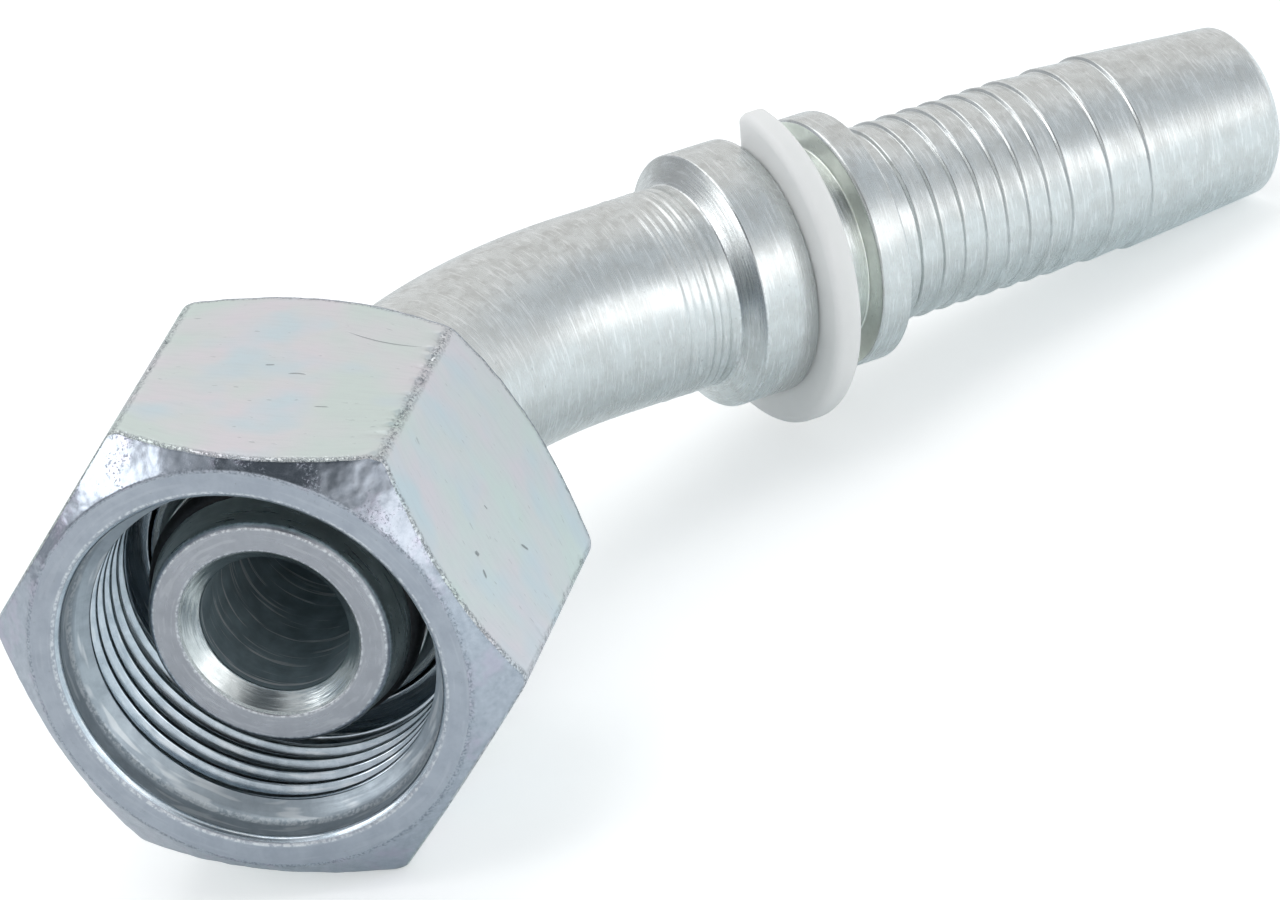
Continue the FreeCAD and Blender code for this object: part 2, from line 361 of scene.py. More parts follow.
stem_outline = [
    (0.0, bore_r + mouth_bevel, 0.10, 8, face_finish),
    (0.0, nose_face_r - nose_edge, 0.12, 0, face_finish),
    (nose_edge, cone_r(nose_edge), 0.12, 6, cone_finish),
    (groove_from_face, cone_r(groove_from_face), 0.08, 1, skin_finish),
    (groove_from_face, groove_floor_r, 0.15, 2, skin_finish),
    (groove_from_face + groove_width, groove_floor_r, 0.15, 1, skin_finish),
    (groove_from_face + groove_width, cone_r(groove_from_face + groove_width), 0.08, 4, cone_finish),
    (shoulder_front, cone_r(shoulder_front), 0.08, 0, skin_finish),
    (shoulder_front, shoulder_r, 0.12, 1, skin_finish),
    (shoulder_rear, shoulder_r, 0.12, 3, skin_finish),
    (tube_front, tube_r, 0.3, 12, skin_finish),
]

# The fine ridges that the forming roll leaves on the tube in front of the first collar
ridge_count, ridge_pitch, ridge_height = 6, 0.62, 0.07
first_ridge = first_collar - 0.35 - ridge_count * ridge_pitch
stem_outline.append((bend_start, tube_r, 0.0, 56, skin_finish))
stem_outline.append((first_ridge - ridge_pitch / 2, tube_r, 0.09, 0, skin_finish))
for i in range(ridge_count):
    place = first_ridge + i * ridge_pitch
    height = ridge_height * (0.5 + 0.5 * sin(2.3 * i + 1) ** 2)
    stem_outline.append((place, tube_r + height, 0.09, 0, skin_finish))
    stem_outline.append((place + ridge_pitch / 2, tube_r - height / 2, 0.09, 0, skin_finish))

stem_outline += [
    (first_collar, tube_r, 0.12, 2, skin_finish),
    (first_collar + collar_cone_length, first_collar_r, 0.12, 6, skin_finish),
    (first_collar_end, first_collar_r, 0.1, 2, skin_finish),
    (first_collar_end, groove_r, 0.1, 5, skin_finish),
    (second_collar, groove_r, 0.1, 6, collar_finish),
    (second_collar, second_collar_r - collar_bevel, 0.05, 0, skin_finish),
    (second_collar + collar_bevel, second_collar_r, 0.08, 3, skin_finish),
    (second_collar_end, second_collar_r, 0.14, 3, skin_finish),
    (second_collar_end, barb_root_r, 0.25, 3, skin_finish),
]
barbs = [first_barb + i * close_pitch for i in range(close_barbs)]
barbs += [barbs[-1] + (i + 1) * wide_pitch for i in range(wide_barbs)]
stem_angles = np.linspace(0, 2 * pi, 192, endpoint=False)
for place in barbs:
    # The rolled crests run a little wavy
    wave = crest_wave * np.array([noise.noise(Vector((2 * cos(a), 2 * sin(a), place))) for a in stem_angles])
    stem_outline.append((place + wave - barb_face_run, barb_root_r, 0.07, 0, skin_finish))
    stem_outline.append((place + wave, barb_crest_r, 0.09, 3, skin_finish))
lead_end = barbs[-1] + lead_length
stem_outline[-1] = (barbs[-1] + wave, barb_crest_r, 0.09, 16, skin_finish)
stem_outline += [
    (lead_end, tip_r, 0.15, 0, skin_finish),
    (lead_end + tip_bevel, tip_r - tip_bevel, 0.12, 1, face_finish),
    (lead_end + tip_bevel, bore_r + tip_bevel / 2, 0.1, 0, bore_finish),
    (lead_end + tip_bevel / 2, bore_r, 0.1, 40, bore_finish),
    (bend_start + bend_radius * bend_angle, bore_r, 0.0, 44, bore_finish),
    (bend_start, bore_r, 0.0, 20, bore_finish),
    (mouth_bevel_length, bore_r, 0.1, 6, mouth_finish),
]
stem = show("stem", turned_mesh("stem", stem_outline, stem_angles), stem_finishes, sharp=35)
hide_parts("elbow_stem")
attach(stem, "stem")

# The swivel nut
# Drawn hexagon steel bar, drilled, threaded M24 x 1.5 and turned to a cone at both ends, bright zinc
# plated. It turns freely on the stem and pulls on the shoulder behind the cone.

flat_r = 15.0
corner_round = 1.1
nut_front = -4.5
nut_rear = nut_front + 22.2
front_face_r = 14.25
front_chamfer = radians(38)
rear_face_r = 13.5
rear_chamfer = radians(42)
entry_r = 12.3
entry_depth, entry_bevel = 1.9, 0.35
core_r = 11.188
undercut_r = 12.35
undercut_width = 2.0
nut_bore_gap, nut_shoulder_gap, neck_gap = 0.3, 0.3, 0.2
neck_bevel = 0.4
thread_pitch = 1.5
thread_depth = 0.81
thread_start = nut_front + 3.0
thread_end = nut_front + 10.6


def hexagon_angles(per_flat):
    """Angles round a hexagon, evenly over each flat and close together at its rounded corners."""
    near = np.array((0.0, 0.25, 0.5, 0.8, 1.2, 1.8, 2.8))
    flat = np.linspace(near[-1], 60 - near[-1], per_flat)[1:-1]
    sector = np.concatenate([near, flat, 60 - near[:0:-1]])
    return np.radians(np.concatenate([sector + 60 * i for i in range(6)]))


def hexagon_radius(angles):
    """Radius of a hexagon with rounded corners, one of them at angle 0."""
    off = (angles + pi / 6) % (pi / 3) - pi / 6
    centre = (flat_r - corner_round) / cos(pi / 6)
    arc = centre * np.cos(off) + np.sqrt(np.maximum(corner_round ** 2 - (centre * np.sin(off)) ** 2, 0))
    straight = flat_r / np.cos(pi / 6 - np.abs(off))
    turn = np.arctan2(corner_round / 2, centre + corner_round * cos(pi / 6))
    return np.where(np.abs(off) < turn, arc, straight)


nut_angles = hexagon_angles(per_flat=28)
hexagon_r = hexagon_radius(nut_angles)
uneven = 0.11 * np.array([noise.noise(Vector((16 * cos(a), 16 * sin(a), 1))) for a in nut_angles])
front_cone = nut_front + (hexagon_r - front_face_r) * tan(front_chamfer) + uneven
rear_cone = nut_rear - (hexagon_r - rear_face_r) * tan(rear_chamfer) + uneven
flat_finish, torn_finish, faced_finish, thread_finish, entry_finish = range(5)
collar_bore_r = shoulder_r + nut_bore_gap
neck_r = tube_r + neck_gap
seat_start = shoulder_rear + nut_shoulder_gap * sqrt(2) - nut_bore_gap
nut_outline = [
    (nut_front, entry_r + 0.4, 0.18, 4, faced_finish),
    (nut_front, front_face_r, 0.14, 8, torn_finish),
    (front_cone, hexagon_r, 0.16, 120, flat_finish),
    (rear_cone, hexagon_r, 0.2, 8, torn_finish),
    (nut_rear, rear_face_r, 0.2, 6, faced_finish),
    (nut_rear, neck_r + neck_bevel, 0.15, 0, faced_finish),
    (nut_rear - neck_bevel, neck_r, 0.1, 3, thread_finish),
    (seat_start + collar_bore_r - neck_r, neck_r, 0.1, 6, thread_finish),
    (seat_start, collar_bore_r, 0.1, 1, thread_finish),
    (thread_end + undercut_width, collar_bore_r, 0.1, 4, thread_finish),
    (thread_end + undercut_width, undercut_r, 0.15, 2, thread_finish),
    (thread_end + undercut_r - core_r, undercut_r, 0.1, 4, thread_finish),
    (thread_end, core_r, 0.05, 170, thread_finish),
    (thread_start, core_r, 0.05, 14, entry_finish),
    (nut_front + entry_depth, entry_r, 0.5, 4, entry_finish),
    (nut_front + entry_bevel, entry_r, 0.16, 1, thread_finish),
]


def dent(rows, angles, station, corner, size, depth):
    """Presses a small hollow into the nut's outside near one of its long edges."""
    off = (angles - corner + pi) % (2 * pi) - pi
    apart = np.hypot(rows[..., 0] - station, rows[..., 1] * off[None, :]) / size
    outside = rows[..., 1] > front_face_r
    rows[..., 1] -= depth * outside * np.clip(1 - apart * apart, 0, 1)


nut_rows, nut_row_finishes, nut_edges = turned_rings(nut_outline, len(nut_angles))
knocks = np.random.default_rng(7)
# The hexagon's corner by its number, and how many knocks its long edge has
for corner, count in ((2, 34), (1, 7), (3, 7), (0, 5), (4, 5), (5, 5)):
    for i in range(count):
        dent(nut_rows, nut_angles, knocks.uniform(nut_front + 2.2, nut_rear - 4.5),
             corner * pi / 3 - 0.012 + knocks.normal(0, 0.012), knocks.uniform(0.16, 0.45),
             knocks.uniform(0.05, 0.20))
nut_off = (nut_angles + pi / 6) % (pi / 3) - pi / 6
corner_wear_reach = 0.9
nut_corners = np.clip(1 - np.abs(nut_off) * hexagon_r / corner_wear_reach, 0, 1)


def thread_cutter():
    """Geometry nodes that press a helical V-groove into a bore lying along X.

    A point's share of one turn, taken with its place along the axis, says how deep the groove is there.
    """
    tree = bpy.data.node_groups.new("cut_thread", "GeometryNodeTree")
    face = tree.interface
    face.new_socket("Geometry", in_out="INPUT", socket_type="NodeSocketGeometry")
    for name in ("Pitch", "Depth", "Start", "End", "Core radius"):
        face.new_socket(name, in_out="INPUT", socket_type="NodeSocketFloat")
    face.new_socket("Up", in_out="INPUT", socket_type="NodeSocketVector")
    face.new_socket("Finish", in_out="INPUT", socket_type="NodeSocketMaterial")
    face.new_socket("Geometry", in_out="OUTPUT", socket_type="NodeSocketGeometry")
    given = add(tree, "NodeGroupInput").outputs
    place = add(tree, "GeometryNodeInputPosition").outputs[0]
    along = add(tree, "ShaderNodeSeparateXYZ", {0: place}).outputs[0]
    radial = add(tree, "ShaderNodeVectorMath", {0: place, 1: (0, 1, 1)}, operation="MULTIPLY").outputs[0]
    radius = add(tree, "ShaderNodeVectorMath", {0: radial}, operation="LENGTH").outputs[1]
    outward = add(tree, "ShaderNodeVectorMath", {0: radial}, operation="NORMALIZE").outputs[0]
    side = add(tree, "ShaderNodeVectorMath", {0: given["Up"], 1: (1, 0, 0)},
               operation="CROSS_PRODUCT").outputs[0]
    rise = add(tree, "ShaderNodeVectorMath", {0: outward, 1: given["Up"]},
               operation="DOT_PRODUCT").outputs[1]
    run = add(tree, "ShaderNodeVectorMath", {0: outward, 1: side}, operation="DOT_PRODUCT").outputs[1]
    part = add(tree, "ShaderNodeMath", {0: rise, 1: run}, operation="ARCTAN2").outputs[0]
    turn = add(tree, "ShaderNodeMath", {0: part, 1: 2 * pi}, operation="DIVIDE").outputs[0]
    part = add(tree, "ShaderNodeMath", {0: along, 1: given["Pitch"]}, operation="DIVIDE").outputs[0]
    other_part = add(tree, "ShaderNodeMath", {0: part, 1: turn}, operation="ADD").outputs[0]
    share = add(tree, "ShaderNodeMath", {0: other_part}, operation="FRACT").outputs[0]
    # A crest an eighth of the pitch to each side, then flanks down to a flat root of about a sixth
    part = add(tree, "ShaderNodeMath", {0: share, 1: 0.5}, operation="SUBTRACT").outputs[0]
    flank = add(tree, "ShaderNodeMath", {0: part}, operation="ABSOLUTE").outputs[0]
    groove = add(tree, "ShaderNodeMapRange", {"Value": flank, "From Min": 0.375, "From Max": 0.08,
                 "To Min": 0.0, "To Max": 1.0}).outputs[0]
    part = add(tree, "ShaderNodeMath", {0: given["Pitch"], 1: 0.3}, operation="MULTIPLY").outputs[0]
    full_from = add(tree, "ShaderNodeMath", {0: given["Start"], 1: part}, operation="ADD").outputs[0]
    entry = add(tree, "ShaderNodeMapRange", {"Value": along, "From Min": given["Start"],
                "From Max": full_from}).outputs[0]
    part = add(tree, "ShaderNodeMath", {0: given["Pitch"], 1: 0.1}, operation="MULTIPLY").outputs[0]
    full_to = add(tree, "ShaderNodeMath", {0: given["End"], 1: part}, operation="SUBTRACT").outputs[0]
    leave = add(tree, "ShaderNodeMapRange", {"Value": along, "From Min": given["End"],
                "From Max": full_to}).outputs[0]
    part = add(tree, "ShaderNodeMath", {0: groove, 1: given["Depth"]}, operation="MULTIPLY").outputs[0]
    other_part = add(tree, "ShaderNodeMath", {0: entry, 1: leave}, operation="MULTIPLY").outputs[0]
    depth = add(tree, "ShaderNodeMath", {0: part, 1: other_part}, operation="MULTIPLY").outputs[0]
    target = add(tree, "ShaderNodeMath", {0: given["Core radius"], 1: depth}, operation="ADD").outputs[0]
    part = add(tree, "ShaderNodeMath", {0: target, 1: radius}, operation="SUBTRACT").outputs[0]
    push = add(tree, "ShaderNodeMath", {0: part, 1: 0.0}, operation="MAXIMUM").outputs[0]
    part = add(tree, "ShaderNodeMath", {0: radius, 1: given["Core radius"]},
               operation="SUBTRACT").outputs[0]
    gap = add(tree, "ShaderNodeMath", {0: part}, operation="ABSOLUTE").outputs[0]
    wall_reach = 0.4 * mm
    inside = add(tree, "FunctionNodeCompare", {0: gap, 1: wall_reach}, data_type="FLOAT",
                 operation="LESS_THAN").outputs[0]
    shift = add(tree, "ShaderNodeVectorMath", {0: outward, 3: push}, operation="SCALE").outputs[0]
    moved = add(tree, "GeometryNodeSetPosition", {"Geometry": given["Geometry"], "Selection": inside,
                "Offset": shift}).outputs[0]
    real = add(tree, "GeometryNodeRealizeInstances", {0: moved}).outputs[0]
    wall = add(tree, "ShaderNodeMath", {0: entry, 1: leave}, operation="MULTIPLY").outputs[0]
    cut = add(tree, "FunctionNodeCompare", {0: wall, 1: 0.001}, data_type="FLOAT",
              operation="GREATER_THAN").outputs[0]
    threaded = add(tree, "FunctionNodeBooleanMath", {0: inside, 1: cut}, operation="AND").outputs[0]
    dressed = add(tree, "GeometryNodeSetMaterial", {"Geometry": real, "Selection": threaded,
                  "Material": given["Finish"]}).outputs[0]
    add(tree, "NodeGroupOutput", {0: dressed})
    return tree


def with_nodes(piece, tree, values):
    """The piece's mesh after a tree of geometry nodes, whose inputs are given by name."""
    step = piece.modifiers.new(tree.name, "NODES")
    step.node_group = tree
    for item in tree.interface.items_tree:
        if item.in_out == "INPUT" and item.name in values:
            step[item.identifier] = values[item.name]
    bpy.context.view_layer.update()
    made = bpy.data.meshes.new_from_object(piece.evaluated_get(bpy.context.evaluated_depsgraph_get()))
    piece.modifiers.clear()
    piece.data = made
    return piece


def mark(tree, place, flat, at, size, lean, bow):
    """Share of a scratch or nick on one flat of the hexagon.

    The flat is named by its angle, at is the mark's place along the nut and across the flat, size is
    half its width and half its length, and lean and bow turn and bend it, all in mm.
    """
    angle = radians(flat)
    normal = cos(angle) * np.cross(up_way, leg_way) + sin(angle) * up_way
    across = -sin(angle) * np.cross(up_way, leg_way) + cos(angle) * up_way
    along = add(tree, "ShaderNodeSeparateXYZ", {0: place}).outputs[0]
    side = add(tree, "ShaderNodeVectorMath", {0: place, 1: tuple(across)}, operation="DOT_PRODUCT").outputs[1]
    out = add(tree, "ShaderNodeVectorMath", {0: place, 1: tuple(normal)}, operation="DOT_PRODUCT").outputs[1]
    side = add(tree, "ShaderNodeMath", {0: side, 1: at[1]}, operation="SUBTRACT").outputs[0]
    part = add(tree, "ShaderNodeMath", {0: side, 1: bow, 2: lean}, operation="MULTIPLY_ADD").outputs[0]
    bent = add(tree, "ShaderNodeMath", {0: part, 1: side}, operation="MULTIPLY").outputs[0]
    part = add(tree, "ShaderNodeMath", {0: along, 1: at[0]}, operation="SUBTRACT").outputs[0]
    other_part = add(tree, "ShaderNodeMath", {0: part, 1: bent}, operation="SUBTRACT").outputs[0]
    off = add(tree, "ShaderNodeMath", {0: other_part, 1: size[0]}, operation="DIVIDE").outputs[0]
    reach = add(tree, "ShaderNodeMath", {0: side, 1: size[1]}, operation="DIVIDE").outputs[0]
    part = add(tree, "ShaderNodeMath", {0: off, 1: off}, operation="MULTIPLY").outputs[0]
    other_part = add(tree, "ShaderNodeMath", {0: reach}, operation="ABSOLUTE").outputs[0]
    third_part = add(tree, "ShaderNodeMath", {0: other_part, 1: 4.0}, operation="POWER").outputs[0]
    far = add(tree, "ShaderNodeMath", {0: part, 1: third_part}, operation="ADD").outputs[0]
    share = add(tree, "ShaderNodeMapRange", {"Value": far, "From Min": 0.2, "From Max": 1.0, "To Min": 1.0,
                "To Max": 0.0}).outputs[0]
    part = add(tree, "ShaderNodeMath", {0: out, 1: flat_r - 0.3}, operation="GREATER_THAN").outputs[0]
    return add(tree, "ShaderNodeMath", {0: share, 1: part}, operation="MULTIPLY").outputs[0]


def hexagon_zinc():
    """Drawn bar left as it came from the die, zinc plated.

    It is satin, with a faint play of pink, green and blue in bands across each flat, fine scratches,
    and edges that are knocked dark and bright.
    """
    material, tree, out = blank("bright_zinc_drawn_flats")
    place = in_mm(tree)
    lay = add(tree, "ShaderNodeAttribute", attribute_name="lay").outputs["Vector"]
    wear = add(tree, "ShaderNodeAttribute", attribute_name="wear").outputs["Fac"]
    stretched = add(tree, "ShaderNodeVectorMath", {0: lay, 1: (0.22, 2.6, 2.6)},
                    operation="MULTIPLY").outputs[0]
    bands = add(tree, "ShaderNodeTexNoise", {"Vector": stretched, "Scale": 1.0, "Detail": 2.0,
                "Roughness": 0.5}).outputs[0]
    stretched = add(tree, "ShaderNodeVectorMath", {0: lay, 1: (0.28, 3.2, 3.2)},
                    operation="MULTIPLY").outputs[0]
    other = add(tree, "ShaderNodeTexNoise", {"Vector": stretched, "Scale": 0.9, "Detail": 2.0,
                "Roughness": 0.5}).outputs[0]
    stretched = add(tree, "ShaderNodeVectorMath", {0: lay, 1: (5.0, 8.0, 8.0)},
                    operation="MULTIPLY").outputs[0]
    streaks = add(tree, "ShaderNodeTexNoise", {"Vector": stretched, "Scale": 1.0, "Detail": 3.0,
                  "Roughness": 0.6}).outputs[0]
    stretched = add(tree, "ShaderNodeVectorMath", {0: lay, 1: (7.5, 24.0, 24.0)},
                    operation="MULTIPLY").outputs[0]
    scores = add(tree, "ShaderNodeTexNoise", {"Vector": stretched, "Scale": 0.9, "Detail": 1.0,
                 "Roughness": 0.4}).outputs[0]
    fine = add(tree, "ShaderNodeTexNoise", {"Vector": place, "Scale": 5.0, "Detail": 3.0,
               "Roughness": 0.7}).outputs[0]
    share = add(tree, "ShaderNodeMapRange", {"Value": bands, "From Min": 0.36, "From Max": 0.64}).outputs[0]
    colour = add(tree, "ShaderNodeMix", {"Factor": share, 6: "#CFDAD7", 7: "#D8D5DA"},
                 data_type="RGBA").outputs[2]
    share = add(tree, "ShaderNodeMapRange", {"Value": other, "From Min": 0.48, "From Max": 0.68}).outputs[0]
    colour = add(tree, "ShaderNodeMix", {"Factor": share, 6: colour, 7: "#CAD7DD"},
                 data_type="RGBA").outputs[2]
    share = add(tree, "ShaderNodeMapRange", {"Value": streaks, "From Min": 0.45, "From Max": 0.8,
                "To Max": 0.2}).outputs[0]
    colour = add(tree, "ShaderNodeMix", {"Factor": share, 6: colour, 7: "#B9BFC1"},
                 data_type="RGBA").outputs[2]
    nicks = add(tree, "ShaderNodeMapRange", {"Value": scores, "From Min": 0.735, "From Max": 0.78,
                "To Max": 0.45}).outputs[0]
    # Each mark: the flat's angle, its place, its half sizes, its lean and its bow
    for flat, at, size, lean, bow in (
        (90, (11.55, 5.0), (0.07, 2.7), -0.2, 0.06), (90, (6.75, 0.8), (0.09, 0.6), 0.1, -0.25),
        (90, (7.5, -1.2), (0.10, 0.3), 0.2, 0.0), (90, (3.0, 3.4), (0.06, 0.5), 0.1, 0.0),
        (150, (1.1, 0.9), (0.22, 0.22), 0.3, 0.0), (150, (6.6, 3.9), (0.14, 0.35), 0.6, 0.0),
        (150, (0.5, 2.1), (0.16, 0.28), -0.4, 0.0), (150, (5.2, -0.1), (0.08, 0.2), 0.2, 0.0),
    ):
        nicks = add(tree, "ShaderNodeMath", {0: nicks, 1: mark(tree, place, flat, at, size, lean, bow)},
                    operation="MAXIMUM").outputs[0]
    part = add(tree, "ShaderNodeMath", {0: nicks, 1: 0.75}, operation="MULTIPLY").outputs[0]
    colour = add(tree, "ShaderNodeMix", {"Factor": part, 6: colour, 7: "#7F8588"},
                 data_type="RGBA").outputs[2]
    share = add(tree, "ShaderNodeMapRange", {"Value": wear, "From Min": 0.50, "From Max": 0.9}).outputs[0]
    other_share = add(tree, "ShaderNodeMapRange", {"Value": fine, "From Min": 0.46,
                      "From Max": 0.58}).outputs[0]
    knocked = add(tree, "ShaderNodeMath", {0: share, 1: other_share}, operation="MULTIPLY").outputs[0]
    part = add(tree, "ShaderNodeMath", {0: knocked, 1: 0.65}, operation="MULTIPLY").outputs[0]
    colour = add(tree, "ShaderNodeMix", {"Factor": part, 6: colour, 7: "#747B82"},
                 data_type="RGBA").outputs[2]
    share = add(tree, "ShaderNodeMapRange", {"Value": bands, "From Min": 0.3, "From Max": 0.7,
                "To Min": 0.38, "To Max": 0.44}).outputs[0]
    part = add(tree, "ShaderNodeMath", {0: knocked, 1: -0.18}, operation="MULTIPLY").outputs[0]
    shine = add(tree, "ShaderNodeMath", {0: share, 1: part}, operation="ADD").outputs[0]
    relief = add(tree, "ShaderNodeBump", {"Strength": 0.6, "Distance": 0.006 * mm, "Height": fine})
    relief = add(tree, "ShaderNodeBump", {"Strength": 0.6, "Distance": 0.010 * mm, "Height": streaks,
                 "Normal": relief.outputs[0]})
    relief = add(tree, "ShaderNodeBump", {"Strength": 0.8, "Distance": 0.04 * mm, "Height": nicks,
                 "Normal": relief.outputs[0]}, invert=True)
    relief = add(tree, "ShaderNodeBump", {"Strength": 0.9, "Distance": 0.07 * mm, "Height": knocked,
                 "Normal": relief.outputs[0]}, invert=True)
    skin = add(tree, "ShaderNodeBsdfPrincipled", {"Base Color": colour, "Metallic": 1.0, "Roughness": shine,
               "Normal": relief.outputs[0]})
    tree.links.new(skin.outputs[0], out.inputs[0])
    return material


def torn_zinc():
    """Cone at the nut's ends, torn by the turning tool: lumpy and glossy, with dark pits on top."""
    material, tree, out = blank("bright_zinc_torn_cone")
    place = in_mm(tree)
    wear = add(tree, "ShaderNodeAttribute", attribute_name="wear").outputs["Fac"]
    lumps = add(tree, "ShaderNodeTexNoise", {"Vector": place, "Scale": 0.5, "Detail": 2.0,
                "Roughness": 0.5}).outputs[0]
    coarse = add(tree, "ShaderNodeTexNoise", {"Vector": place, "Scale": 1.7, "Detail": 3.0,
                 "Roughness": 0.6}).outputs[0]
    fine = add(tree, "ShaderNodeTexNoise", {"Vector": place, "Scale": 6.0, "Detail": 3.0,
               "Roughness": 0.7}).outputs[0]
    tint = add(tree, "ShaderNodeTexNoise", {"Vector": place, "Scale": 0.5, "Detail": 3.0,
               "Roughness": 0.6}).outputs[0]
    share = add(tree, "ShaderNodeMapRange", {"Value": coarse, "From Min": 0.35, "From Max": 0.7}).outputs[0]
    colour = add(tree, "ShaderNodeMix", {"Factor": share, 6: "#B5BCC6", 7: "#A3ABB6"},
                 data_type="RGBA").outputs[2]
    share = add(tree, "ShaderNodeMapRange", {"Value": tint, "From Min": 0.52, "From Max": 0.66,
                "To Max": 0.5}).outputs[0]
    colour = add(tree, "ShaderNodeMix", {"Factor": share, 6: colour, 7: "#BDB7C8"},
                 data_type="RGBA").outputs[2]
    height = add(tree, "ShaderNodeSeparateXYZ", {0: place}).outputs[2]
    share = add(tree, "ShaderNodeMapRange", {"Value": height, "From Min": 4.0, "From Max": 12.0}).outputs[0]
    other_share = add(tree, "ShaderNodeMapRange", {"Value": tint, "From Min": 0.48,
                      "From Max": 0.56}).outputs[0]
    high = add(tree, "ShaderNodeMath", {0: share, 1: other_share}, operation="MULTIPLY").outputs[0]
    share = add(tree, "ShaderNodeMapRange", {"Value": fine, "From Min": 0.57, "From Max": 0.64}).outputs[0]
    pits = add(tree, "ShaderNodeMath", {0: share, 1: high}, operation="MULTIPLY").outputs[0]
    part = add(tree, "ShaderNodeMath", {0: pits, 1: 0.6}, operation="MULTIPLY").outputs[0]
    colour = add(tree, "ShaderNodeMix", {"Factor": part, 6: colour, 7: "#59616A"},
                 data_type="RGBA").outputs[2]
    share = add(tree, "ShaderNodeMapRange", {"Value": wear, "From Min": 0.6, "From Max": 0.95}).outputs[0]
    other_share = add(tree, "ShaderNodeMapRange", {"Value": fine, "From Min": 0.46,
                      "From Max": 0.6}).outputs[0]
    edge = add(tree, "ShaderNodeMath", {0: share, 1: other_share}, operation="MULTIPLY").outputs[0]
    part = add(tree, "ShaderNodeMath", {0: edge, 1: 0.6}, operation="MULTIPLY").outputs[0]
    colour = add(tree, "ShaderNodeMix", {"Factor": part, 6: colour, 7: "#6A727B"},
                 data_type="RGBA").outputs[2]
    relief = add(tree, "ShaderNodeBump", {"Strength": 0.8, "Distance": 0.14 * mm, "Height": lumps})
    relief = add(tree, "ShaderNodeBump", {"Strength": 0.5, "Distance": 0.014 * mm, "Height": coarse,
                 "Normal": relief.outputs[0]})
    relief = add(tree, "ShaderNodeBump", {"Strength": 0.6, "Distance": 0.014 * mm, "Height": pits,
                 "Normal": relief.outputs[0]}, invert=True)
    skin = add(tree, "ShaderNodeBsdfPrincipled", {"Base Color": colour, "Metallic": 1.0, "Roughness": 0.22,
               "Normal": relief.outputs[0]})
    tree.links.new(skin.outputs[0], out.inputs[0])
    return material


nut_finishes = [
    hexagon_zinc(),
    torn_zinc(),
    # The nut's faced ends get zinc darker than the flats: painted shade, for the shaded floor that the front
    # face reflects; the turning lines are real.
    turned_zinc("bright_zinc_faced_end", "#B0B7C1", "#A6ADB8", 0.16, 0.004, 0.34, 0.4, 0.06),
    turned_zinc("bright_zinc_cut_thread", "#D0DBE4", "#B6C3CD", 0.12, 0.006, 0.24, 0.3, 0.3),
    turned_zinc("bright_zinc_bored_entry", "#B2BDC5", "#A0ABB4", 0.30, 0.022, 0.36, 0.5, 0.4, 0.6),
]
nut_mesh = ring_mesh("swivel_nut_body", nut_rows, nut_row_finishes, nut_edges, nut_angles, nut_corners)
nut = show("swivel_nut_body", nut_mesh, nut_finishes, sharp=28)
nut = with_nodes(nut, thread_cutter(), {
    "Pitch": thread_pitch * mm, "Depth": thread_depth * mm, "Start": thread_start * mm,
    "End": thread_end * mm, "Core radius": core_r * mm, "Up": tuple(up_way),
    "Finish": nut_finishes[thread_finish]})
nut.data.set_sharp_from_angle(angle=radians(75))
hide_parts("swivel_nut")
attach(nut, "nut")

# The O-ring
# Black nitrile rubber, moulded, 2 mm thick. It is stretched over the cone into its groove and stands
# a quarter of a millimetre out of it.


def nitrile_rubber():
    """Moulded black rubber, lightly oiled: dark, with a soft wide sheen."""
    material, tree, out = blank("nitrile_rubber_moulded")
    place = in_mm(tree)
    dust = add(tree, "ShaderNodeTexNoise", {"Vector": place, "Scale": 4.0, "Detail": 3.0,
               "Roughness": 0.55}).outputs[0]
    share = add(tree, "ShaderNodeMapRange", {"Value": dust, "From Min": 0.5, "From Max": 0.75}).outputs[0]
    colour = add(tree, "ShaderNodeMix", {"Factor": share, 6: "#141516", 7: "#2A2B2C"},
                 data_type="RGBA").outputs[2]
    relief = add(tree, "ShaderNodeBump", {"Strength": 0.4, "Distance": 0.01 * mm, "Height": dust})
    skin = add(tree, "ShaderNodeBsdfPrincipled", {"Base Color": colour, "Roughness": 0.42,
               "Normal": relief.outputs[0]})
    tree.links.new(skin.outputs[0], out.inputs[0])
    return material


ring_middle = groove_from_face + groove_width / 2
ring_outline = [
    (ring_middle + cord_r * cos(a), cord_centre_r + cord_r * sin(a), 0.0, 0, 0)
    for a in np.linspace(0, 2 * pi, 28, endpoint=False)[::-1]
]
o_ring = show("o_ring", turned_mesh("o_ring", ring_outline, np.linspace(0, 2 * pi, 128, endpoint=False)),
              [nitrile_rubber()], sharp=60)
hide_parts("nose_o_ring")
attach(o_ring, "stem")

# The locking clip
# Open ring of natural nylon, injection moulded, with rounded edges. It is snapped over the groove's
# floor and leans on the first collar.

clip_face_gap, clip_seat_gap = 0.03, 0.1
clip_front = first_collar_end + clip_face_gap
clip_rear = first_collar_end + 2.0
clip_inner_r = groove_r + clip_seat_gap
clip_outer_r = 11.3
clip_opening = radians(120)
clip_opening_middle = radians(24)


